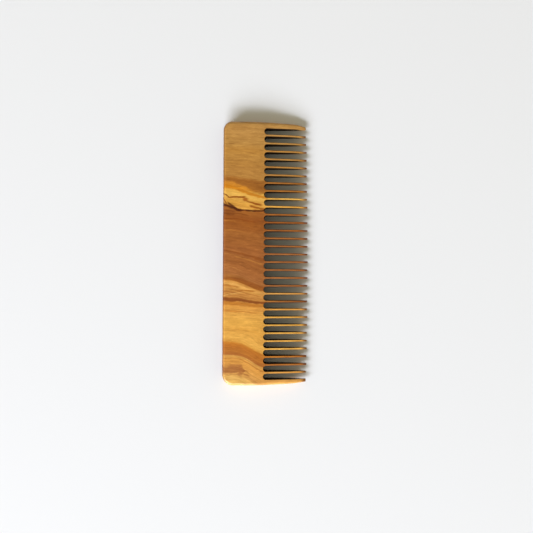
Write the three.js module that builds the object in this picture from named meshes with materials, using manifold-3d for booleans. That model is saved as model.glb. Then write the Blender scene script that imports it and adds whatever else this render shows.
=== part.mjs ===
// A one-piece wooden hair comb, lying flat on its underside.
//
// The comb is sawn from a single plank: a plain spine, then a row of parallel teeth between two
// wider guard teeth. Each slot has a full round bottom. The underside is flat under the spine and
// rises along the teeth. The upper face slopes gently over the spine, more steeply over the teeth
// and then curves down to the tips, so a tooth tapers from both faces.
//
// Units are millimetres. +X runs from the back edge to the tooth tips, +Y along the comb and +Z up.
// The origin is the centre of the flat underside. While a piece is drawn, "across" is the distance
// from the back edge, so across = 0 is the back edge and across = combWidth the furthest tip.
//
// The teeth and the spine are one piece of wood. They are separate meshes here, so that every tooth
// is a plain tapered bar with open air on both sides. They meet face to face along the root line,
// where the round bottoms of the slots turn into straight walls.

import * as THREE from "three";
import Module from "manifold-3d";
import { mergeVertices } from "three/addons/utils/BufferGeometryUtils.js";

// ---- Driving dimensions ------------------------------------------------------------------------

const combLength = 167;
const spineWidth = 26; // back edge to the bottom of the slots
const toothLength = 28; // bottom of a slot to the furthest tip
const backThickness = 8.5;

const toothPitch = 5;
const slotWidth = 3.7; // the saw's cut
const farGuardWidth = 4.3; // least width of the guard tooth at +Y, at its root
const nearGuardWidth = 3.8; // and of the one at -Y

const farCornerRadius = 5.5; // corners of the back edge, seen from above
const nearCornerRadius = 7;
const edgeRadius = 2.1; // round-over of the outer edges

const shoulderInset = 4; // shoulder line, where the steeper slope starts, to slot bottoms
const shoulderDrop = 0.35; // fall of the upper face from the back edge to the shoulder line
const toothSlope = 0.135; // fall of the upper face per millimetre, past the shoulder line

const endBowStart = 14; // across, where the comb's ends start to curve in
const endBow = 1.6; // how far they curve in at the tips
const tipArcRadius = 2800; // the line of the tips, seen from above, is a long arc
const tipArcCrown = -17; // the tooth position, along Y, whose tip reaches furthest

const tipFallLength = 12; // the upper face curves down over this last stretch of a tooth
const tipLift = 1.8; // height of the underside at the tips, over the underside of the spine
const noseThickness = 1.3; // thickness at a tooth's very tip
const pointLength = 3.2; // a tooth narrows to its point over this stretch
const pointWidth = 0.5;
const guardPointLength = 8;
const guardPointWidth = 1.7;
const toothEase = 0.22; // how far the four long edges of a tooth are eased

// ---- Sizes worked out from them ----------------------------------------------------------------

const combWidth = spineWidth + toothLength;
const shoulder = spineWidth - shoulderInset;
const toothWidth = toothPitch - slotWidth;
const slotRadius = slotWidth / 2;
const rootLine = spineWidth + slotRadius;
const halfLength = combLength / 2;

// As many slots as the length holds. What is left over goes to the two guard teeth in equal parts.
const slotCount = Math.floor((combLength - farGuardWidth - nearGuardWidth + toothWidth) / toothPitch);
const slottedLength = slotCount * toothPitch - toothWidth;
const spare = (combLength - farGuardWidth - nearGuardWidth - slottedLength) / 2;
const firstSlot = -halfLength + nearGuardWidth + spare + slotRadius; // middle of the slot nearest -Y

const slotMiddle = (slot) => firstSlot + slot * toothPitch;

// ---- Curves of the comb's outside --------------------------------------------------------------

// Distance from the middle of the comb to its end, at a distance across.
function endAt(across) {
  const bent = Math.max(0, across - endBowStart) / (combWidth - endBowStart);
  return halfLength - endBow * bent * bent;
}

// Where a tooth at a place along the comb ends.
function tipAt(along) {
  const away = along - tipArcCrown;
  return combWidth - (away * away) / (2 * tipArcRadius);
}

// Height of the upper face, before it curves down to a tip: a gentle slope from the back edge to the
// shoulder line, and a steeper one past it.
function slopeTop(across) {
  const steep = Math.max(0, across - shoulder);
  return backThickness - (shoulderDrop * (across - steep)) / shoulder - toothSlope * steep;
}

// Height of the upper face over a tooth that ends at tip.
function toothTop(across, tip) {
  const fall = Math.max(0, across - (tip - tipFallLength)) / tipFallLength;
  return slopeTop(across) - (slopeTop(across) - tipLift - noseThickness) * fall * fall;
}

// Height of the underside of a tooth that ends at tip: it rises more and more from the root line on.
function toothUnderside(across, tip) {
  const share = (across - rootLine) / (tip - rootLine);
  return tipLift * share * share;
}

// ---- Spine -------------------------------------------------------------------------------------

function spineOutline() {
  const bowSteps = 4;
  const bow = [];
  for (let i = 0; i <= bowSteps; i++) {
    const across = endBowStart + ((combWidth - endBowStart) * i) / bowSteps;
    bow.push(new THREE.Vector2(across, endAt(across)));
  }
  const outline = new THREE.Shape();
  outline.moveTo(nearCornerRadius, -halfLength);
  bow.forEach((p) => outline.lineTo(p.x, -p.y));
  bow.reverse().forEach((p) => outline.lineTo(p.x, p.y));
  outline.lineTo(farCornerRadius, halfLength);
  outline.absarc(farCornerRadius, halfLength - farCornerRadius, farCornerRadius, Math.PI / 2, Math.PI);
  outline.lineTo(0, -halfLength + nearCornerRadius);
  outline.absarc(nearCornerRadius, -halfLength + nearCornerRadius, nearCornerRadius, Math.PI, 1.5 * Math.PI);
  return outline;
}

// The plank with its outer edges rounded over, before it is cut and planed.
function plankGeometry() {
  return new THREE.ExtrudeGeometry(spineOutline(), {
    depth: backThickness - 2 * edgeRadius,
    bevelSize: edgeRadius,
    bevelThickness: edgeRadius,
    bevelOffset: -edgeRadius,
    bevelSegments: 4,
    curveSegments: 8,
  }).translate(0, 0, edgeRadius);
}

// The stretch of the plank between two distances across, planed down to its slope.
function planedStretch(wasm, from, to) {
  const keep = new THREE.BoxGeometry(to - from, 2 * combLength, 4 * backThickness);
  keep.translate((from + to) / 2, 0, 0);
  const stretch = meshOf(solidOf(wasm, plankGeometry()).intersect(solidOf(wasm, keep)));
  const at = stretch.getAttribute("position");
  for (let i = 0; i < at.count; i++) {
    at.setZ(i, (at.getZ(i) * slopeTop(at.getX(i))) / backThickness);
  }
  return solidOf(wasm, stretch);
}

// One saw cut: a slot with a full round bottom, which runs out past the tips.
function slotGeometry(middle) {
  const cut = new THREE.Shape();
  cut.moveTo(combWidth, middle - slotRadius);
  cut.lineTo(combWidth, middle + slotRadius);
  cut.lineTo(rootLine, middle + slotRadius);
  cut.absarc(rootLine, middle, slotRadius, Math.PI / 2, 1.5 * Math.PI);
  const depth = 4 * backThickness;
  return new THREE.ExtrudeGeometry(cut, { depth, bevelEnabled: false, curveSegments: 5 }).translate(
    0,
    0,
    -depth / 2,
  );
}

// The spine ends at the root line, so each slot leaves only its round bottom in it.
function spineGeometry(wasm) {
  let spine = planedStretch(wasm, -1, shoulder).add(planedStretch(wasm, shoulder, rootLine));
  for (let slot = 0; slot < slotCount; slot++) {
    spine = spine.subtract(solidOf(wasm, slotGeometry(slotMiddle(slot))));
  }
  return meshOf(spine);
}

// ---- Teeth -------------------------------------------------------------------------------------

// Distances across at which a tooth's section is set out: its root, where its long edges are still
// square, the straight stretch and the tip.
function toothStations(tip) {
  const tipShares = [1.5, 1, 0.8, 0.6, 0.4, pointLength / tipFallLength, 0.13, 0.04, 0];
  return [rootLine, rootLine + slotRadius, ...tipShares.map((share) => tip - share * tipFallLength)];
}

// A tooth is carved from a box: its sections are placed at the stations, between its two sides.
function toothGeometry({ tip, lowSide, highSide, ease }) {
  const stations = toothStations(tip);
  const steps = stations.length - 1;
  const geometry = new THREE.BoxGeometry(1, 1, 1, steps, 2, 2);
  const at = geometry.getAttribute("position");
  for (let i = 0; i < at.count; i++) {
    const across = stations[Math.round((at.getX(i) + 0.5) * steps)];
    const side = 2 * at.getY(i); // -1 at the low side, 1 at the high one
    const level = 2 * at.getZ(i); // -1 underneath, 1 on top
    const low = lowSide(across);
    const high = highSide(across);
    const bottom = toothUnderside(across, tip);
    const half = (toothTop(across, tip) - bottom) / 2;
    const onEdge = Math.abs(side) > 0.5 && Math.abs(level) > 0.5;
    const eased = onEdge ? ease(across, side) : 0;
    at.setXYZ(
      i,
      across,
      (low + high) / 2 + side * ((high - low) / 2 - eased),
      bottom + half + level * (half - Math.min(eased, half / 2)),
    );
  }
  return bare(geometry);
}

// Half the width of a thin tooth, from its root to its point.
function thinToothHalfWidth(across, tip) {
  const pointed = Math.max(0, across - (tip - pointLength)) / pointLength;
  const narrowing = Math.max(0, toothWidth - pointWidth);
  return toothWidth / 2 - (narrowing / 2) * pointed ** 1.5;
}

// The long edges are square at the root and ease off along the slot.
const easeAt = (across) => toothEase * Math.min(1, (across - rootLine) / slotRadius);

function thinTooth(middle) {
  const tip = tipAt(middle);
  return toothGeometry({
    tip,
    lowSide: (across) => middle - thinToothHalfWidth(across, tip),
    highSide: (across) => middle + thinToothHalfWidth(across, tip),
    ease: easeAt,
  });
}

// A guard tooth ends the row. Its inner side is a slot wall and its outer side the comb's end.
function guardTooth(end) {
  const tip = tipAt(end * halfLength);
  const inner = slotMiddle(end > 0 ? slotCount - 1 : 0) + end * slotRadius;
  const outer = (across) => {
    const pointed = Math.max(0, across - (tip - guardPointLength)) / guardPointLength;
    const outside = end * endAt(across);
    return outside + (inner + end * guardPointWidth - outside) * pointed * pointed;
  };
  const roundOver = edgeRadius * (1 - Math.SQRT1_2); // a chamfer as deep as the round-over
  return toothGeometry({
    tip,
    lowSide: end > 0 ? () => inner : outer,
    highSide: end > 0 ? outer : () => inner,
    ease: (across, side) => (side === end ? roundOver : easeAt(across)),
  });
}

// ---- Solids and meshes -------------------------------------------------------------------------

// Geometry with nothing but merged positions, as a closed solid needs.
function bare(geometry) {
  geometry.deleteAttribute("normal");
  geometry.deleteAttribute("uv");
  return mergeVertices(geometry, 1e-5);
}

function solidOf(wasm, geometry) {
  const merged = bare(geometry);
  return new wasm.Manifold(
    new wasm.Mesh({
      numProp: 3,
      vertProperties: new Float32Array(merged.getAttribute("position").array),
      triVerts: new Uint32Array(merged.index.array),
    }),
  );
}

function meshOf(solid) {
  const { vertProperties, triVerts } = solid.getMesh();
  return new THREE.BufferGeometry()
    .setAttribute("position", new THREE.BufferAttribute(vertProperties, 3))
    .setIndex(new THREE.BufferAttribute(triVerts, 1));
}

const wasm = await Module();
wasm.setup();

const oiledWood = () => new THREE.MeshStandardMaterial({ color: 0xc98b45, roughness: 0.45, metalness: 0 });

const comb = new THREE.Group();

function addPiece(name, geometry) {
  const mesh = new THREE.Mesh(geometry, oiledWood());
  mesh.name = name;
  mesh.position.x = -combWidth / 2; // from distances across to the comb's own frame
  comb.add(mesh);
}

addPiece("spine", spineGeometry(wasm));
addPiece("guard_tooth_near", guardTooth(-1));
for (let tooth = 1; tooth < slotCount; tooth++) {
  const middle = slotMiddle(tooth) - toothPitch / 2;
  addPiece(`tooth_${String(tooth).padStart(2, "0")}`, thinTooth(middle));
}
addPiece("guard_tooth_far", guardTooth(1));

export default comb;
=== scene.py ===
# %% [markdown]
# # A hair comb sawn from olive wood
#
# The real comb is one flat piece of olive wood: a plain spine to hold, thin teeth, and a wider
# guard tooth at each end of the row. Nothing on it moves. Its beauty is the wood, whose gold and
# brown layers run across the spine and on into the teeth. So it is built here as one unbroken
# mesh with one wood material, around a CAD model that fixes every size and position.

# %% Load the CAD frame
import math
import random

import bmesh
import bpy
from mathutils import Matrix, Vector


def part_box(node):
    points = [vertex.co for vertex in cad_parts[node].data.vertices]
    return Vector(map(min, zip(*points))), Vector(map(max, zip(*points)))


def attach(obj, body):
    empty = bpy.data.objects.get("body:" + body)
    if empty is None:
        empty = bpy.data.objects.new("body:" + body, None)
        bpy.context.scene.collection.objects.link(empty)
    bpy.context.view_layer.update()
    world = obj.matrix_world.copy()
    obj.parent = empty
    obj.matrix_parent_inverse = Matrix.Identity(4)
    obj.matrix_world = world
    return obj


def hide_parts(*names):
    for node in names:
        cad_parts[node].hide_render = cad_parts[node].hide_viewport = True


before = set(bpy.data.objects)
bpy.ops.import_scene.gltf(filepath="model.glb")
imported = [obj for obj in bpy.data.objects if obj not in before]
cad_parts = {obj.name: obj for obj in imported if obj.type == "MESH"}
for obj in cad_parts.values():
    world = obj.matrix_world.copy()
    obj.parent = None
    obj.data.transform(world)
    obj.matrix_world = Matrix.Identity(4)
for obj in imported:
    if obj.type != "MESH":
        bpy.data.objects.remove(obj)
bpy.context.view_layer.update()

# %% [markdown]
# The CAD model keeps the spine and every tooth as solids of their own. Their boxes tell where each
# tooth starts and ends, so the teeth of the finished mesh stand exactly where the CAD has them.

# %% Read the sizes of the comb
MM = 0.001
THICKNESS = 8.5 * MM  # at the back edge
SLOT_RADIUS = 1.85 * MM
SAME_PLACE = 1e-6  # metres: points that are nearer than this count as one place

spine_low, spine_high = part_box("spine")
back = spine_low[0]
half_length = spine_high[1]
slot_bottom = spine_high[0] - SLOT_RADIUS

tooth_names = [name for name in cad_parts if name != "spine"]
tooth_boxes = sorted((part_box(name) for name in tooth_names), key=lambda box: box[0][1])
slot_walls = []
for here, following in zip(tooth_boxes, tooth_boxes[1:]):
    slot_walls += [here[1][1], following[0][1]]
print(len(tooth_boxes), "teeth and", len(slot_walls) // 2, "slots")

# %% [markdown]
# ## The spine
#
# A comb starts as a plank. Here the plank is a cube, stretched to the spine's size from the back
# edge to the bottoms of the slots. A plane cuts it at both walls of every slot, which leaves a
# small face in front of each tooth to pull that tooth out of.

# %% Stretch a cube into the plank, and mark out the slots
comb = bmesh.new()
bmesh.ops.create_cube(comb, size=1.0)
bmesh.ops.scale(comb, vec=(slot_bottom - back, 2 * half_length, THICKNESS), verts=comb.verts)
bmesh.ops.translate(comb, vec=((back + slot_bottom) / 2, 0, THICKNESS / 2), verts=comb.verts)


def cut(mesh, point, normal):
    everything = mesh.verts[:] + mesh.edges[:] + mesh.faces[:]
    bmesh.ops.bisect_plane(mesh, geom=everything, plane_co=point, plane_no=normal, dist=SAME_PLACE)


for wall in slot_walls:
    cut(comb, (0, wall, 0), (0, 1, 0))
front_faces = [face for face in comb.faces if face.normal.x > 0.9]
front_faces.sort(key=lambda face: face.calc_center_median().y)
tooth_faces = front_faces[::2]
print(len(front_faces), "faces along the front,", len(tooth_faces), "of them teeth")

# %% [markdown]
# The ends of the real comb are not quite straight: past the middle of the spine they bow inwards,
# so the guard teeth lean in a little towards the rest.

# %% The bow of the two ends
BOW_START = back + 14 * MM
BOW_REACH = 40 * MM
END_BOW = 1.6 * MM


def end_line(x):
    """How far from the comb's middle its end lies, at a distance from the back edge."""
    return half_length - END_BOW * max(0.0, (x - BOW_START) / BOW_REACH) ** 2


print("bow at the tips:", round((half_length - end_line(BOW_START + BOW_REACH)) / MM, 2), "mm")

# %% [markdown]
# ## The teeth
#
# Each tooth is pulled out of the spine in short steps, one extrusion after another, so that it can
# narrow to its rounded point over the last few millimetres. The teeth are filed by hand, so no two
# end quite alike: seeded random numbers give each one its own reach, lean and point.

# %% Pull the teeth out of the spine
random.seed(33)
FIRST_STEP = 2.2 * MM  # from a slot's bottom, past its round end
STEPS_TO_TIP = (  # each section's distance from the tip, in millimetres
    22, 20, 18, 16, 14, 12, 10.6, 9.2, 7.8, 6.5, 5.4, 4.4, 3.5, 2.7, 2, 1.4, 0.95, 0.5, 0,
)
POINT_LENGTH = 5 * MM
GUARD_POINT_LENGTH = 8 * MM
THIN_POINT = 0.5 * MM  # half the width of a thin tooth's end
GUARD_POINT = 1.9 * MM  # the width of a guard tooth's end


def narrowing(to_tip, length):
    """0 where a point starts and 1 at the tip, gently at first."""
    return max(0.0, 1 - to_tip / length) ** 2


def thin_sides(box, along, narrow, lean, point):
    middle = (box[0][1] + box[1][1]) / 2 + lean * along**2
    half = (box[1][1] - box[0][1]) / 2
    half -= (half - point) * narrow
    return middle - half, middle + half


def guard_sides(inner, end, x, narrow):
    outer = end * end_line(x)
    outer += (inner + end * GUARD_POINT - outer) * narrow
    return sorted((inner, outer))


tips = []
for face, box in zip(tooth_faces, tooth_boxes):
    tip = box[1][0] + random.uniform(-0.22, 0.12) * MM
    lean = random.uniform(-0.12, 0.12) * MM
    point = THIN_POINT * random.uniform(0.9, 1.15)
    end = -1 if box is tooth_boxes[0] else 1 if box is tooth_boxes[-1] else 0
    for x in [slot_bottom + FIRST_STEP] + [tip - step * MM for step in STEPS_TO_TIP]:
        face = bmesh.ops.extrude_discrete_faces(comb, faces=[face])["faces"][0]
        narrow = narrowing(tip - x, GUARD_POINT_LENGTH if end else POINT_LENGTH)
        along = (x - slot_bottom) / (tip - slot_bottom)
        if end:
            low_side, high_side = guard_sides(box[0 if end > 0 else 1][1], end, x, narrow)
        else:
            low_side, high_side = thin_sides(box, along, narrow, lean, point)
        middle = face.calc_center_median().y
        for vert in face.verts:
            vert.co = (x, high_side if vert.co.y > middle else low_side, vert.co.z)
    tips.append(tip)
print("tooth lengths in mm:", round((min(tips) - slot_bottom) / MM, 1), "to",
      round((max(tips) - slot_bottom) / MM, 1))

# %% [markdown]
# ## Round slot bottoms and corners
#
# The marks of the planes are not needed any more, so they are dissolved, which leaves broad flat
# faces that catch the light evenly. Then two bevels do the saw's and the file's work. In each slot
# the two inner corners are bevelled by half its width, so their arcs meet in a full round bottom.

# %% Round the slots' bottoms
def is_mark(edge):
    on_spine = all(vert.co.x < slot_bottom + SAME_PLACE for vert in edge.verts)
    return on_spine and edge.is_manifold and edge.calc_face_angle() < 0.01


def upright_edges(mesh, keep):
    """The edges that run straight through the thickness, at the corners that keep() accepts."""
    found = []
    for edge in mesh.edges:
        a, b = (vert.co for vert in edge.verts)
        if (a.xy - b.xy).length < 1e-7 and keep(a):
            found.append(edge)
    return found


def round_off(mesh, edges, radius, segments):
    bmesh.ops.bevel(
        mesh, geom=edges, offset=radius, offset_type="OFFSET", segments=segments, profile=0.5,
        affect="EDGES", clamp_overlap=False, material=-1,
    )


marks = [edge for edge in comb.edges if is_mark(edge)]
bmesh.ops.dissolve_edges(comb, edges=marks, use_verts=True)
inner = half_length - MM
slot_corners = upright_edges(
    comb, lambda at: abs(at.x - slot_bottom) < SAME_PLACE and abs(at.y) < inner
)
round_off(comb, slot_corners, SLOT_RADIUS, 8)
bmesh.ops.remove_doubles(comb, verts=comb.verts, dist=0.01 * MM)  # where two arcs meet
print(len(slot_corners), "slot corners rounded,", len(comb.faces), "faces")

# %% Round the two corners of the back edge
FAR_CORNER = 5.5 * MM
NEAR_CORNER = 7 * MM
for side, radius in ((1, FAR_CORNER), (-1, NEAR_CORNER)):
    corner = upright_edges(
        comb, lambda at: at.x < back + SAME_PLACE and side * at.y > half_length - SAME_PLACE
    )
    round_off(comb, corner, radius, 14)
print(len(comb.faces), "faces")

# %% [markdown]
# ## Planing and tapering
#
# Seen from its end, the comb is a wedge. The upper face is almost level over the spine, bends
# gently down at a shoulder just before the slots, and curves down to the tips. The underside rises
# along the teeth, so they taper from both faces. A few cross cuts give the shoulder and the bowed
# ends points to bend at, and cuts down the middles of the slots give each tooth a small face of its
# own at the root. Then every point moves to its height.

# %% Bend the upper face and the ends
SHOULDER = back + 22 * MM
SHOULDER_DROP = 0.35 * MM  # from the back edge to the shoulder
SHOULDER_SOFTNESS = 2 * MM
TOOTH_SLOPE = 0.135
TIP_FALL = 12 * MM  # the length over which the upper face curves down to a tip
TIP_LIFT = 1.8 * MM  # how far the tips stand clear of the table
TIP_THICKNESS = 1.3 * MM

CROSS_CUTS = (14, 17, 20, 20.7, 21.4, 22, 22.6, 23.3, 24)  # millimetres from the back edge
for across in CROSS_CUTS:
    cut(comb, (back + across * MM, 0, 0), (1, 0, 0))
front = back + (CROSS_CUTS[0] - 0.1) * MM
for wall, facing_wall in zip(slot_walls[::2], slot_walls[1::2]):
    broad = [
        face for face in comb.faces
        if abs(face.normal.z) > 0.9
        and all(front < vert.co.x < slot_bottom + 4 * MM for vert in face.verts)
    ]
    parts = list(broad)
    for face in broad:
        parts += face.edges[:] + face.verts[:]
    slot_middle = (0, (wall + facing_wall) / 2, 0)
    bmesh.ops.bisect_plane(
        comb, geom=list(dict.fromkeys(parts)),  # each once, and in the same order every time
        plane_co=slot_middle, plane_no=(0, 1, 0), dist=SAME_PLACE,
    )


def slope_top(x):
    past = x - SHOULDER
    steep = max(0.0, past + SHOULDER_SOFTNESS) ** 2 / (4 * SHOULDER_SOFTNESS)
    if past > SHOULDER_SOFTNESS:
        steep = past
    level = SHOULDER_DROP * (x - steep - back) / (SHOULDER - back)
    return THICKNESS - level - TOOTH_SLOPE * steep


def tooth_heights(x, tip):
    """The heights of the underside and of the upper face."""
    fall = max(0.0, 1 - (tip - x) / TIP_FALL) ** 2
    first = slot_bottom + FIRST_STEP
    lift = TIP_LIFT * min(1.0, max(0.0, (x - first) / (tip - first))) ** 2
    top = slope_top(x)
    return lift, top - (top - TIP_LIFT - TIP_THICKNESS) * fall


middles = [(low[1] + high[1]) / 2 for low, high in tooth_boxes]
for vert in comb.verts:
    x, y, z = vert.co
    if abs(y) > half_length - SAME_PLACE:
        vert.co.y = math.copysign(end_line(x), y)
    nearest = min(range(len(tips)), key=lambda number: abs(middles[number] - y))
    underside, top = tooth_heights(x, tips[nearest])
    vert.co.z = top if z > THICKNESS / 2 else underside
print("thickness at the tips:", round(TIP_THICKNESS / MM, 2), "mm")

# %% [markdown]
# ## Sanding the edges
#
# Every edge of the comb is eased, as anything that runs through hair must be. The outer edges have
# a generous round-over, the slots and teeth a fine one. One Bevel modifier does both: each edge
# carries a weight that says how much of the full radius it gets. Towards the guard teeth's tips
# the comb gets too thin for the large radius, so there it shrinks with the thickness.

# %% Weigh the edges for the Bevel modifier
OUTER_ROUND = 2.1 * MM
FINE_ROUND = 0.3 * MM
THIN_SHARE = 0.32  # the most of the thickness that one round-over takes
comb.normal_update()
weights = comb.edges.layers.float.new("bevel_weight_edge")
near_end = half_length - 3.2 * MM  # past here, a side that faces outwards is the comb's own end


def is_outer(face):
    at = face.calc_center_median()
    return face.normal.x < -0.05 or (abs(at.y) > near_end and at.y * face.normal.y > 0)


eased = 0
for edge in comb.edges:
    a, b = (vert.co for vert in edge.verts)
    if edge.calc_face_angle() < math.radians(40):
        continue
    eased += 1
    side_face = min(edge.link_faces, key=lambda face: abs(face.normal.z))
    radius = FINE_ROUND
    if is_outer(side_face) and abs(a.z - b.z) < 0.5 * MM:
        underside, top = tooth_heights((a.x + b.x) / 2, tips[0] if a.y < 0 else tips[-1])
        radius = min(OUTER_ROUND, THIN_SHARE * (top - underside))
    edge[weights] = radius / OUTER_ROUND
print(eased, "edges to ease")

# %% Ease the edges
def mesh_object(name, mesh):
    made = bpy.data.objects.new(name, mesh)
    bpy.context.scene.collection.objects.link(made)
    return made


rough_mesh = bpy.data.meshes.new("comb_unsanded")
comb.to_mesh(rough_mesh)
comb.free()
rough = mesh_object("comb_unsanded", rough_mesh)
sanding = rough.modifiers.new("sanded edges", "BEVEL")
sanding.limit_method = "WEIGHT"
sanding.width = OUTER_ROUND
sanding.segments = 5
sanding.profile = 0.5
sanding.use_clamp_overlap = False
smooth_mesh = bpy.data.meshes.new_from_object(
    rough.evaluated_get(bpy.context.evaluated_depsgraph_get())
)
bpy.data.objects.remove(rough)
bpy.data.meshes.remove(rough_mesh)
smooth_mesh.shade_smooth()
comb_wood = mesh_object("comb_wood", smooth_mesh)
flat = comb_wood.modifiers.new("flat faces stay flat", "WEIGHTED_NORMAL")
flat.keep_sharp = True
flat.weight = 60
print(len(smooth_mesh.polygons), "faces after easing")

# %% [markdown]
# ## Where the saw went, and where the fibres end
#
# The walls of the slots come straight from the saw. Nobody can sand in there, so they stay rough.
# Their almost black colour is painted shade, for little light gets down into the narrow slots. The
# fibres run from the back edge to the tips, so along the back edge they are cut across. This end
# grain drinks more oil and turns a deep red brown. Two attributes mark these places.

# %% Mark the slot walls, whose colour is painted shade, and the end grain
def mark_points(name, values):
    attribute = smooth_mesh.attributes.new(name, "FLOAT", "POINT")
    attribute.data.foreach_set("value", values)
    print(name, "marks", sum(value > 0.5 for value in values), "of", len(values), "points")


# the points of the slot walls, which the material paints almost black as shade
shaded_wall_points = [0.0] * len(smooth_mesh.vertices)
for face in smooth_mesh.polygons:
    x, y, _ = face.center
    inside = abs(y) < near_end or y * face.normal.y < 0
    if abs(face.normal.z) < 0.75 and x > slot_bottom - FINE_ROUND and inside:
        for index in face.vertices:
            shaded_wall_points[index] = 1.0
mark_points("shaded_slot_wall", shaded_wall_points)
mark_points("end_grain", [max(0.0, -vert.normal.x) for vert in smooth_mesh.vertices])

# %% [markdown]
# ## Olive wood
#
# Olive wood is sapwood and heartwood in irregular layers, tan, gold and brown, with thin dark
# lines where they meet. The fibres run from the back edge to the tips, and the layers slope a
# little on their way. So the material first works out a depth: how far along the comb each point's
# layer lies, counted at the back edge. It then looks the colour up in two colour ramps, one for
# each half of the comb. Noise bends the layers, so that no line is straight.

# %% A small kit for building node trees
wood = bpy.data.materials.new("olive_wood")
wood.use_nodes = True
tree = wood.node_tree
tree.nodes.clear()


def put(kind, settings=None, **inputs):
    """Adds a node. An input is named with _ for spaces, and takes a value or another's output."""
    node = tree.nodes.new("ShaderNode" + kind)
    for name, value in (settings or {}).items():
        setattr(node, name, value)
    for name, value in inputs.items():
        key = int(name[1:]) if name[0] == "i" and name[1:].isdigit() else name.replace("_", " ")
        if isinstance(value, bpy.types.NodeSocket):
            tree.links.new(value, node.inputs[key])
        else:
            node.inputs[key].default_value = value
    return node


def calc(operation, a, b=0.0, c=0.0):
    return put("Math", {"operation": operation}, i0=a, i1=b, i2=c).outputs[0]


def fade_between(value, start, end, low=0.0, high=1.0):
    """A smooth step from low at start to high at end."""
    settings = {"interpolation_type": "SMOOTHSTEP"}
    if start > end:
        start, end, low, high = end, start, high, low
    inputs = {"From_Min": start, "From_Max": end, "To_Min": low, "To_Max": high}
    return put("MapRange", settings, Value=value, **inputs).outputs["Result"]


def vector(x, y, z):
    return put("CombineXYZ", X=x, Y=y, Z=z).outputs[0]


def noise(at, scale, detail=2.0, roughness=0.5):
    """Noise from -0.5 to 0.5, at a scale in waves per millimetre."""
    made = put("TexNoise", Vector=at, Scale=scale, Detail=detail, Roughness=roughness)
    return calc("SUBTRACT", made.outputs["Fac"], 0.5)


print("node kit ready")

# %% The place of a point in the wood, in millimetres
place = put("TexCoord").outputs["Object"]
place = put("Mapping", Vector=place, Scale=(1000, 1000, 1000)).outputs["Vector"]
axes = put("SeparateXYZ", Vector=place).outputs
across = calc("SUBTRACT", axes["X"], back / MM)  # from the back edge
along_comb, height = axes["Y"], axes["Z"]

stretched = vector(calc("MULTIPLY", across, 0.45), along_comb, height)
broad_wave = calc("MULTIPLY", noise(stretched, 0.035, 1), 2.4)
small_wave = calc("MULTIPLY", noise(stretched, 0.16, 3), 1.8)
full_bend = fade_between(along_comb, 12, -20, 3.2, 8.2)
full_bend = calc("ADD", full_bend, fade_between(along_comb, 46, 62, 0, -2.4))
full_bend = calc("ADD", full_bend, fade_between(along_comb, -20, -36, 0, -7))
full_bend = calc("ADD", full_bend, fade_between(along_comb, -45, -58, 0, 7.3))
late = fade_between(along_comb, -4, -18, 1.0, 1.4)  # near the near end the bend starts later
late = calc("ADD", late, fade_between(along_comb, -36, -55, 0, 0.8))
bend = calc("MULTIPLY", calc("POWER", fade_between(across, 0, 28), late), full_bend)
depth = calc("ADD", along_comb, calc("MULTIPLY_ADD", height, 0.2, -1.7))
depth = calc("ADD", calc("ADD", depth, bend), calc("ADD", broad_wave, small_wave))
print("depth counted in millimetres, with the layers bent on their way across")

# %% The layers' colours
def linear(shade):
    shade /= 255
    return shade / 12.92 if shade < 0.04045 else ((shade + 0.055) / 1.055) ** 2.4


OIL = (0.96, 0.93, 0.84)  # how much of each colour the oiled wood gives back
SHEEN = 0.005  # what the gloss adds to every colour


def tone(red, green, blue):
    return [oil * linear(shade) - SHEEN for oil, shade in zip(OIL, (red, green, blue))] + [1.0]


def layers(value, bands):
    """A colour ramp from bands of (depth in millimetres, red, green, blue)."""
    bands = sorted(bands)
    low, high = bands[0][0], bands[-1][0]
    share = put("MapRange", Value=value, From_Min=low, From_Max=high).outputs["Result"]
    ramp = put("ValToRGB", Fac=share)
    stops = ramp.color_ramp.elements
    for number, (at, *shades) in enumerate(bands):
        where = (at - low) / (high - low)
        stop = stops[number] if number < 2 else stops.new(where)
        stop.position = where
        stop.color = tone(*shades)
    return ramp.outputs["Color"]


FAR_LAYERS = [
    (86, 190, 144, 82), (76, 188, 139, 76), (70, 188, 140, 75), (65, 187, 134, 64),
    (61, 189, 138, 70), (57, 180, 128, 63), (53, 182, 130, 66), (49.6, 184, 132, 67),
    (48.2, 174, 116, 54), (46.8, 174, 113, 49), (45.5, 192, 124, 46), (44, 206, 135, 46),
    (42.2, 208, 136, 44), (40.7, 227, 172, 78), (38, 230, 179, 88), (34.5, 221, 164, 76),
    (31.4, 214, 154, 66), (30.4, 164, 98, 42), (27, 162, 97, 43), (24.5, 150, 84, 36),
    (21, 158, 92, 39), (17, 158, 93, 42), (14, 166, 103, 50), (8, 161, 98, 49),
    (3, 163, 99, 52), (-3, 160, 97, 49), (-8, 168, 104, 56), (-12, 168, 106, 58),
    (-13.5, 173, 110, 54),
]
NEAR_LAYERS = [
    (-13.5, 173, 110, 54), (-14.9, 164, 98, 42), (-15.9, 160, 92, 34), (-16.5, 210, 146, 72),
    (-18.4, 225, 167, 90), (-20, 208, 148, 74), (-24, 200, 138, 70), (-27, 196, 133, 66),
    (-29.5, 204, 140, 68), (-33, 216, 150, 70), (-34.6, 221, 157, 76), (-38, 226, 167, 81),
    (-43, 227, 170, 80), (-48, 223, 164, 77), (-52.6, 231, 174, 85), (-54.8, 225, 164, 76),
    (-55.8, 199, 125, 46), (-58, 186, 112, 44), (-60.4, 190, 118, 49), (-63.2, 175, 105, 48),
    (-63.9, 218, 160, 84), (-66, 220, 157, 76), (-69, 221, 156, 76), (-75.2, 220, 163, 88),
    (-78, 230, 180, 101), (-86, 234, 188, 110),
]
MEETING = -13.5  # the depth where one ramp takes over from the other
far_colour = layers(depth, FAR_LAYERS)
near_colour = layers(depth, NEAR_LAYERS)
which = calc("LESS_THAN", depth, MEETING)
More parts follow.
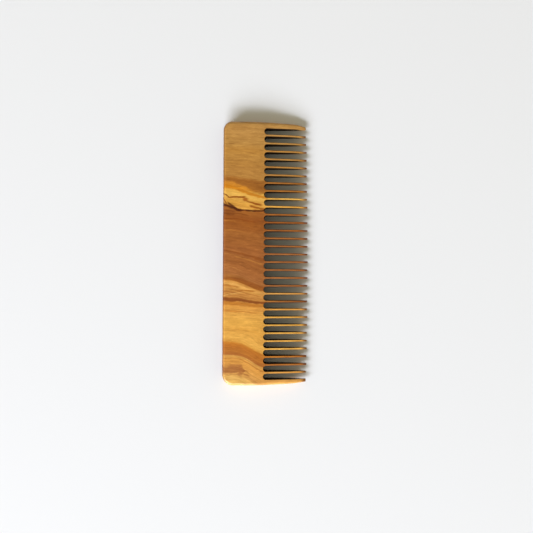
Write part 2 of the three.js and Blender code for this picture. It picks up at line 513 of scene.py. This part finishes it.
wood_colour = put("Mix", {"data_type": "RGBA"}, i0=which, i6=far_colour, i7=near_colour)
wood_colour = wood_colour.outputs[2]
print(len(FAR_LAYERS) + len(NEAR_LAYERS), "layers")

# %% [markdown]
# The lines and patches of olive wood are thinner than any ramp can hold. They swell, taper and
# cross the layers. So each is drawn by its own few nodes: it lies at one depth at the back edge,
# climbs or falls through the layers as it crosses the spine, and has one half width where it starts
# and another where it ends.

# %% A line in the figure
fine_place = vector(calc("MULTIPLY", across, 0.3), along_comb, height)
wobble = calc("MULTIPLY", noise(fine_place, 0.45, 3, 0.6), 1.5)
line_depth = calc("ADD", depth, wobble)
swelling = calc("MULTIPLY_ADD", noise(fine_place, 0.9, 1), 1.5, 1.0)
run = calc("MINIMUM", across, 27)  # the layers are level along the teeth
TEETH = 90  # a reach past the tips


def mixed(amount, under, over, blend="MIX"):
    node = put("Mix", {"data_type": "RGBA", "blend_type": blend}, i0=amount, i6=under, i7=over)
    return node.outputs[2]


def draw_line(under, at, climb, halves, reach, shades, strength):
    """Draws one line; all its sizes are in millimetres and reach is counted across the comb."""
    start, stop = reach
    away = calc("ABSOLUTE", calc("SUBTRACT", line_depth, calc("MULTIPLY_ADD", run, climb, at)))
    half = calc("MULTIPLY", fade_between(across, max(start, 0), min(stop, 26), *halves), swelling)
    inside = fade_between(calc("DIVIDE", away, half), 1.1, 0.35, 0, strength)
    ends = fade_between(across, start - 2, start)
    ends = calc("MULTIPLY", ends, fade_between(across, stop + 2.5, stop))
    return mixed(calc("MULTIPLY", inside, ends), under, tone(*shades))


print("lines can be drawn")

# %% Lines in the far half: a brown wedge, a gold sheet with cracks, and the edge of the heartwood
FAR_LINES = [
    (47.4, -0.10, (1.0, 5.6), (3, TEETH), (160, 101, 42), 0.95),
    (43.4, -0.19, (1.5, 0.9), (-4, 27), (202, 126, 28), 0.85),
    (38.2, -0.65, (0.4, 0.5), (-4, 3), (128, 66, 22), 0.95),
    (34.7, 0.22, (0.5, 0.6), (4, 13), (146, 76, 18), 0.95),
    (36.2, 0.0, (1.5, 1.5), (13.5, 14.5), (166, 92, 28), 0.9),
    (36.4, -0.10, (0.5, 0.9), (16, 23), (156, 84, 22), 0.95),
    (34.4, -0.11, (0.9, 0.5), (18, 27), (150, 80, 24), 0.9),
    (30.2, 0.0, (1.5, 1.3), (6, 18), (219, 160, 74), 1.0),
    (34.9, -1.5, (0.7, 0.7), (-4, 1.5), (128, 64, 26), 0.9),
    (33.5, -0.52, (0.9, 1.1), (4, 8), (92, 40, 17), 0.9),
    (30.8, -0.21, (1.3, 0.9), (-4, 10), (84, 36, 15), 0.97),
    (27.7, 0.115, (0.8, 0.6), (10, 30), (84, 36, 15), 0.97),
    (27.4, 0.0, (0.8, 0.5), (-4, 6), (122, 62, 30), 0.7),
    (25.8, 0.05, (0.9, 0.5), (-4, 15), (130, 70, 28), 0.8),
    (22.8, 0.0, (0.5, 0.8), (-4, 20), (138, 72, 26), 0.75),
    (21.6, -0.04, (0.5, 0.2), (-4, 7), (192, 124, 56), 0.8),
    (15.2, 0.0, (0.7, 0.3), (-4, 12), (176, 112, 52), 0.7),
    (1.6, 0.0, (0.5, 0.9), (-4, TEETH), (142, 78, 33), 0.85),
    (-1.3, 0.03, (0.4, 0.5), (9, 24), (184, 120, 58), 0.75),
    (-0.2, -0.02, (0.5, 0.3), (-4, 8), (178, 116, 58), 0.7),
    (-7.2, -0.10, (0.5, 0.4), (-4, 11), (186, 122, 66), 0.75),
]
for line in FAR_LINES:
    wood_colour = draw_line(wood_colour, *line)
print(len(FAR_LINES), "lines")

# %% Lines in the near half: a streaky gold sheet, a brown stripe, and a brown lens near the end
NEAR_LINES = [
    (-14.6, 0.04, (0.3, 1.7), (2, TEETH), (150, 84, 36), 0.85),
    (-19.5, 0.0, (0.5, 0.3), (-4, 9), (182, 116, 50), 0.85),
    (-22.4, 0.02, (0.4, 0.5), (6, 22), (178, 112, 50), 0.8),
    (-24.0, 0.02, (0.9, 0.4), (-4, 15), (184, 119, 58), 0.8),
    (-26.2, 0.03, (0.7, 0.4), (-4, 20), (184, 120, 60), 0.75),
    (-31.4, 0.03, (2.0, 1.8), (-4, TEETH), (190, 120, 46), 0.85),
    (-28.8, 0.02, (1.6, 1.5), (-4, TEETH), (140, 77, 34), 0.97),
    (-20.5, 0.17, (0.5, 0.4), (-4, 9), (186, 120, 52), 0.85),
    (-25.0, 0.34, (0.5, 0.8), (11, 19), (174, 106, 40), 0.9),
    (-27.2, 0.38, (0.5, 0.4), (-4, 11), (230, 178, 102), 0.7),
    (-36.1, 0.0, (0.8, 0.4), (-4, 22), (204, 134, 56), 0.8),
    (-47.0, 0.0, (0.7, 0.5), (8, 24), (212, 150, 64), 0.5),
    (-65.5, -0.03, (0.4, 0.7), (-4, 27), (188, 122, 54), 0.8),
    (-73.3, 0.07, (3.5, 4.2), (-4, 11), (174, 112, 60), 0.95),
    (-74.4, 0.17, (3.2, 0.5), (12, 15), (172, 108, 56), 0.95),
    (-76.6, 0.17, (0.4, 0.6), (12, 16), (172, 110, 56), 0.8),
    (-77.0, 0.12, (0.5, 1.4), (15, 24), (205, 145, 77), 0.8),
]
for line in NEAR_LINES:
    wood_colour = draw_line(wood_colour, *line)
print(len(NEAR_LINES), "lines")

# %% [markdown]
# Closer up, the wood has streaks along its fibres, some dark and some bright, silky ripples, and
# pores: short dark dashes in the direction of the fibres.

# %% Streaks, ripples and pores
def streaks(length, thickness, seed, start, end):
    """A mask of spindle-shaped streaks, sized in millimetres."""
    lie = calc("ADD", calc("MULTIPLY", line_depth, 0.6), calc("MULTIPLY", along_comb, 0.4))
    through = calc("MULTIPLY_ADD", height, 0.25, seed)
    at = vector(calc("DIVIDE", across, length), calc("DIVIDE", lie, thickness), through)
    return fade_between(noise(at, 1.0, 2, 0.55), start, end)


fibre_place = vector(calc("MULTIPLY", across, 0.07), depth, height)
fibres = noise(fibre_place, 1.3, 4, 0.6)
bundles = noise(fibre_place, 0.6, 3, 0.65)
silk = noise(fine_place, 0.36, 3, 0.6)
flecks = noise(fine_place, 1.0, 2, 0.6)
hairlines = noise(vector(calc("MULTIPLY", across, 0.05), line_depth, height), 4.5, 2)
pore_place = vector(calc("MULTIPLY", across, 0.16), along_comb, height)
pores = fade_between(noise(pore_place, 4.0, 1), 0.14, 0.24)
end_grain = put("Attribute", {"attribute_name": "end_grain"}).outputs["Fac"]
dark_streaks = streaks(8.0, 0.8, 0.0, 0.08, 0.2)
bright_streaks = streaks(5.0, 0.6, 31.0, 0.1, 0.22)

shade = calc("MULTIPLY_ADD", fibres, 0.42, 1.0)
shade = calc("MULTIPLY_ADD", bundles, 0.6, shade)
shade = calc("MULTIPLY_ADD", silk, 0.45, shade)
shade = calc("MULTIPLY_ADD", flecks, 0.28, shade)
shade = calc("MULTIPLY_ADD", hairlines, 0.24, shade)
shade = calc("MULTIPLY_ADD", fade_between(across, 26, 30), 0.08, shade)  # painted highlight: the teeth are lightened, as their rounded tops catch more light
open_pores = calc("MULTIPLY_ADD", end_grain, -0.3, -0.12)  # cut across, they gape
shade = calc("MULTIPLY_ADD", pores, open_pores, shade)
calm = fade_between(depth, -37, -31, 0.25, 1.0)  # the broad gold sheet has fewer streaks
shade = calc("MULTIPLY_ADD", calc("MULTIPLY", dark_streaks, calm), -0.2, shade)
shade = calc("MULTIPLY_ADD", bright_streaks, 0.2, shade)
green_shade, blue_shade = (calc("POWER", shade, power) for power in (1.25, 1.6))  # dark is redder
toning = put("CombineColor", Red=shade, Green=green_shade, Blue=blue_shade).outputs[0]
wood_colour = mixed(1.0, wood_colour, toning, "MULTIPLY")
print("grain added")

# %% [markdown]
# The last few millimetres of each tooth are darkened to a red brown. The tips lie on a long arc, so
# its equation tells how far each point is from the nearest tip.

# %% Darker tips, end grain, and painted shade on the slot walls
TIP_CROWN = -17  # along the comb, where the teeth reach furthest, in millimetres
TIP_ARC = 5600  # twice the radius of the arc that the tips lie on
reach = (max(tips) - back) / MM
from_crown = calc("SUBTRACT", along_comb, TIP_CROWN)
tip_line = calc("MULTIPLY_ADD", calc("MULTIPLY", from_crown, from_crown), -1 / TIP_ARC, reach)
to_tip = calc("SUBTRACT", tip_line, across)
tip_darkening = fade_between(to_tip, 4.2, 0.8, 0, 0.8)
tip_darkening = calc("MULTIPLY", tip_darkening, fade_between(along_comb, 79, 76, 0.3, 1.0))  # less at one guard
wood_colour = mixed(tip_darkening, wood_colour, tone(96, 44, 20))
wood_colour = mixed(fade_between(end_grain, 0.35, 0.95, 0, 0.72), wood_colour, tone(78, 36, 20))
walls = put("Attribute", {"attribute_name": "shaded_slot_wall"}).outputs["Fac"]
walls = calc("MULTIPLY", walls, fade_between(to_tip, 1, 6, 0.35, 1.0))  # less painted shade near the tips, where the teeth are thin and the slots open
# painted shade: the slot walls are mixed almost to black, as the narrow slots get little light
wood_colour = mixed(calc("MULTIPLY", walls, 0.97), wood_colour, tone(26, 16, 11))
print("tips burnished")

# %% The surface of the wood
relief = calc("MULTIPLY_ADD", pores, -0.5, calc("MULTIPLY_ADD", fibres, 0.5, hairlines))
bump = put("Bump", Height=relief, Strength=0.18, Distance=0.06 * MM)
dull = calc("MULTIPLY_ADD", walls, 0.4, calc("MULTIPLY_ADD", fibres, -0.25, 0.33))
satin = put("BsdfPrincipled", Base_Color=wood_colour, Roughness=dull, Normal=bump.outputs[0])
satin.inputs["IOR"].default_value = 1.45
tree.links.new(fade_between(walls, 0, 1, 0.5, 0.15), satin.inputs["Specular IOR Level"])
put("OutputMaterial", Surface=satin.outputs[0])
smooth_mesh.materials.append(wood)
print(len(tree.nodes), "nodes in the wood")

# %% Hand the comb over to the CAD frame
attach(comb_wood, "root")
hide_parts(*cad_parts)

# %% [markdown]
# ## The table, the light and the camera
#
# The comb lies on a plain pale table in soft daylight. It comes through a broad window, low on the
# near left, and throws a soft shadow past the far end. The sky is brightest in the upper part of
# the window, which gives the shadow its clear edge. The camera looks straight down.

# %% The table
table_mesh = bpy.data.meshes.new("table_top")
table = mesh_object("table_top", table_mesh)
sheet = bmesh.new()
bmesh.ops.create_grid(sheet, x_segments=1, y_segments=1, size=2.0)
sheet.to_mesh(table_mesh)
sheet.free()
pale = bpy.data.materials.new("pale_table")
pale.use_nodes = True
pale_surface = pale.node_tree.nodes["Principled BSDF"]
pale_surface.inputs["Base Color"].default_value = (0.81, 0.81, 0.81, 1)
pale_surface.inputs["Roughness"].default_value = 0.85
table_mesh.materials.append(pale)
print("table in place")

# %% A broad window, low on the near left, and the bright sky in its upper part
DAYLIGHT_DISTANCE = 4.5
HEADING = math.radians(242)


def daylight(name, elevation, height, energy):
    data = bpy.data.lights.new(name, "AREA")
    data.shape = "RECTANGLE"
    data.size, data.size_y = 4.2, height
    data.energy = energy
    data.color = (0.95, 1.0, 1.14)
    light = bpy.data.objects.new(name, data)
    bpy.context.scene.collection.objects.link(light)
    up = math.radians(elevation)
    outwards = math.cos(up) * math.cos(HEADING), math.cos(up) * math.sin(HEADING), math.sin(up)
    light.location = [DAYLIGHT_DISTANCE * part for part in outwards]
    light.rotation_euler = (math.pi / 2 - up, 0, HEADING + math.pi / 2)
    print(name, "at", [round(part, 2) for part in light.location])


daylight("window", elevation=25, height=1.75, energy=284)
daylight("sky", elevation=34, height=0.7, energy=82)

# %% [markdown]
# The rest of the light comes from the room. It is warmer than the daylight, and stronger from the
# walls than from the ceiling, which leaves the narrow slots dark. A white wall on the right lights
# the table between the tips.

# %% The light of the room
room = bpy.data.worlds.new("room")
bpy.context.scene.world = room
room.use_nodes = True
room_nodes, room_links = room.node_tree.nodes, room.node_tree.links
backdrop = room_nodes["Background"]
backdrop.inputs["Color"].default_value = (1.08, 1.0, 0.74, 1)
direction = room_nodes.new("ShaderNodeTexCoord")
upwards = room_nodes.new("ShaderNodeSeparateXYZ")
brightness = room_nodes.new("ShaderNodeMapRange")
brightness.inputs["To Min"].default_value = 0.49  # at the walls
brightness.inputs["To Max"].default_value = 0.25  # at the ceiling
right_side = room_nodes.new("ShaderNodeMapRange")
right_side.inputs["To Min"].default_value = 1.0
right_side.inputs["To Max"].default_value = 1.6  # how much brighter a white wall on the right is
strength = room_nodes.new("ShaderNodeMath")
strength.operation = "MULTIPLY"
room_links.new(direction.outputs["Generated"], upwards.inputs[0])
room_links.new(upwards.outputs["Z"], brightness.inputs["Value"])
room_links.new(upwards.outputs["X"], right_side.inputs["Value"])
room_links.new(brightness.outputs["Result"], strength.inputs[0])
room_links.new(right_side.outputs["Result"], strength.inputs[1])
room_links.new(strength.outputs[0], backdrop.inputs["Strength"])
bpy.context.scene.view_settings.view_transform = "Standard"
print("room lit")

# %% The camera
camera_data = bpy.data.cameras.new("camera")
camera_data.lens = 39.85
camera_data.clip_start = 0.01
camera = bpy.data.objects.new("camera", camera_data)
bpy.context.scene.collection.objects.link(camera)
camera.location = (0.7 * MM, -8.1 * MM, 380 * MM)
camera.rotation_euler = (0, 0, math.radians(0.36))  # the comb doesn't lie quite straight
bpy.context.scene.camera = camera
print("camera looks straight down from", camera.location.z, "m")
